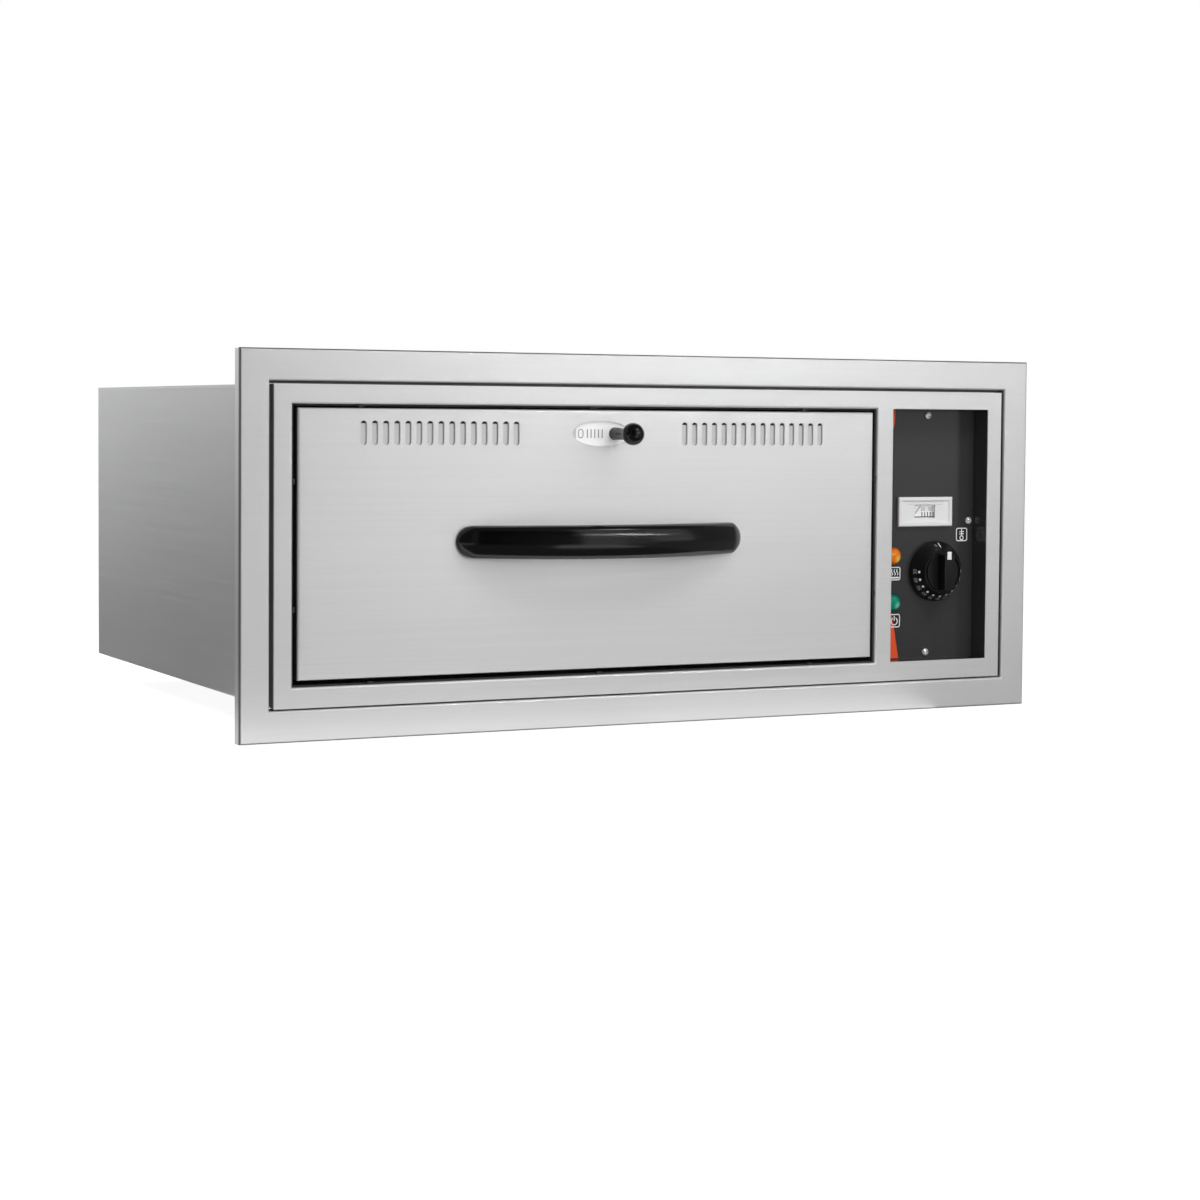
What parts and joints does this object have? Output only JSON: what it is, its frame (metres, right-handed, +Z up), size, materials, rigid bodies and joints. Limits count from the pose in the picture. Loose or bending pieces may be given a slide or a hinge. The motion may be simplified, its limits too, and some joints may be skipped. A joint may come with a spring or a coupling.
{
  "type": "built-in warming drawer",
  "caption": "Built-in warming drawer: wide steel trim, insulated drawer with arched handle and sliding vent damper, and a sunk control panel at the right.",
  "frame": {"origin": "middle of the bottom strip of the trim's back flange, in the plane where the trim bears on the furniture", "axes": "+X to the right seen from the front, +Y into the furniture, +Z up; the drawer pulls out along -Y"},
  "size_m": [0.8, 0.6, 0.334],
  "materials": {
    "front_steel": "brushed along the long side, satin",
    "housing_steel": "finely brushed, satin",
    "inner_steel": "mill finish, semi-bright",
    "black_panel": "satin black",
    "black_gloss": "glossy black",
    "black_moulding": "matt black",
    "white_moulding": "white, satin",
    "dial_card": "white, matt",
    "pointer_paint": "dark grey, matt",
    "clear_window": "clear",
    "lens_amber": "amber, translucent",
    "lens_green": "green, translucent",
    "seal_rubber": "black, matt",
    "mineral_wool": "loose fibre",
    "element_steel": "oxidised by heat",
    "capillary_copper": "drawn copper",
    "ceramic_body": "cream, matt",
    "screw_steel": "bright"
  },
  "bodies": {
    "cabinet": {"trim_frame": "front_steel", "face_frame": "front_steel", "housing_shell": "housing_steel", "top_cover": "housing_steel", "rear_panel": "housing_steel", "cavity_liner": "inner_steel", "insulation_wrap": "mineral_wool", "opening_seal": "seal_rubber", "control_panel": "black_panel", "panel_screw_top": "screw_steel", "panel_screw_bottom": "screw_steel", "panel_screw_left": "screw_steel", "panel_screw_right": "screw_steel", "thermometer_bezel": "white_moulding", "thermometer_case": "black_moulding", "thermometer_lens": "clear_window", "thermometer_dial": "dial_card", "thermometer_capillary": "capillary_copper", "thermostat_body": "ceramic_body", "thermostat_capillary": "capillary_copper", "lamp_lens_amber": "lens_amber", "lamp_lens_green": "lens_green", "lamp_body_amber": "black_moulding", "lamp_body_green": "black_moulding", "heating_element": "element_steel", "element_bracket_left": "inner_steel", "element_bracket_middle": "inner_steel", "element_bracket_right": "inner_steel", "limit_thermostat": "ceramic_body", "terminal_block": "ceramic_body", "cable_gland": "black_moulding", "slide_outer_left": "inner_steel", "slide_outer_right": "inner_steel"},
    "runners": {"slide_middle_left": "inner_steel", "slide_middle_right": "inner_steel"},
    "drawer": {"drawer_front": "front_steel", "drawer_front_liner": "inner_steel", "front_insulation": "mineral_wool", "handle": "black_gloss", "handle_screw_left": "screw_steel", "handle_screw_right": "screw_steel", "damper_guide_top": "inner_steel", "damper_guide_bottom": "inner_steel", "carriage_side_left": "inner_steel", "carriage_side_right": "inner_steel", "pan_rail_front": "inner_steel", "pan_rail_rear": "inner_steel", "carriage_rear": "inner_steel", "food_pan": "inner_steel", "slide_inner_left": "inner_steel", "slide_inner_right": "inner_steel"},
    "damper": {"damper_plate": "inner_steel", "damper_stud": "screw_steel", "damper_knob": "black_gloss"},
    "knob": {"thermostat_knob": "black_gloss", "thermostat_shaft": "screw_steel"},
    "pointer": {"thermometer_pointer": "pointer_paint"}
  },
  "joints": [
    {"name": "drawer_slide", "type": "slide", "parent": "cabinet", "child": "drawer", "axis": [0, -1, 0], "range_m": [0, 0.4]},
    {"name": "runner_slide", "type": "slide", "parent": "cabinet", "child": "runners", "axis": [0, -1, 0], "range_m": [0, 0.2]},
    {"name": "damper_slide", "type": "slide", "parent": "drawer", "child": "damper", "axis": [-1, 0, 0], "range_m": [0, 0.0256]},
    {"name": "thermostat_turn", "type": "hinge", "parent": "cabinet", "child": "knob", "pos_m": [0.3105, 0, 0.121], "axis": [0, 1, 0], "range_deg": [0, 270]},
    {"name": "thermometer_swing", "type": "hinge", "parent": "cabinet", "child": "pointer", "pos_m": [0.2982, 0.0146, 0.1859], "axis": [0, -1, 0], "range_deg": [0, 76], "stiffness_Nm_per_rad": 0.001}
  ],
  "couplings": [
    {"joint": "runner_slide", "follows": "drawer_slide", "ratio": 0.5}
  ]
}
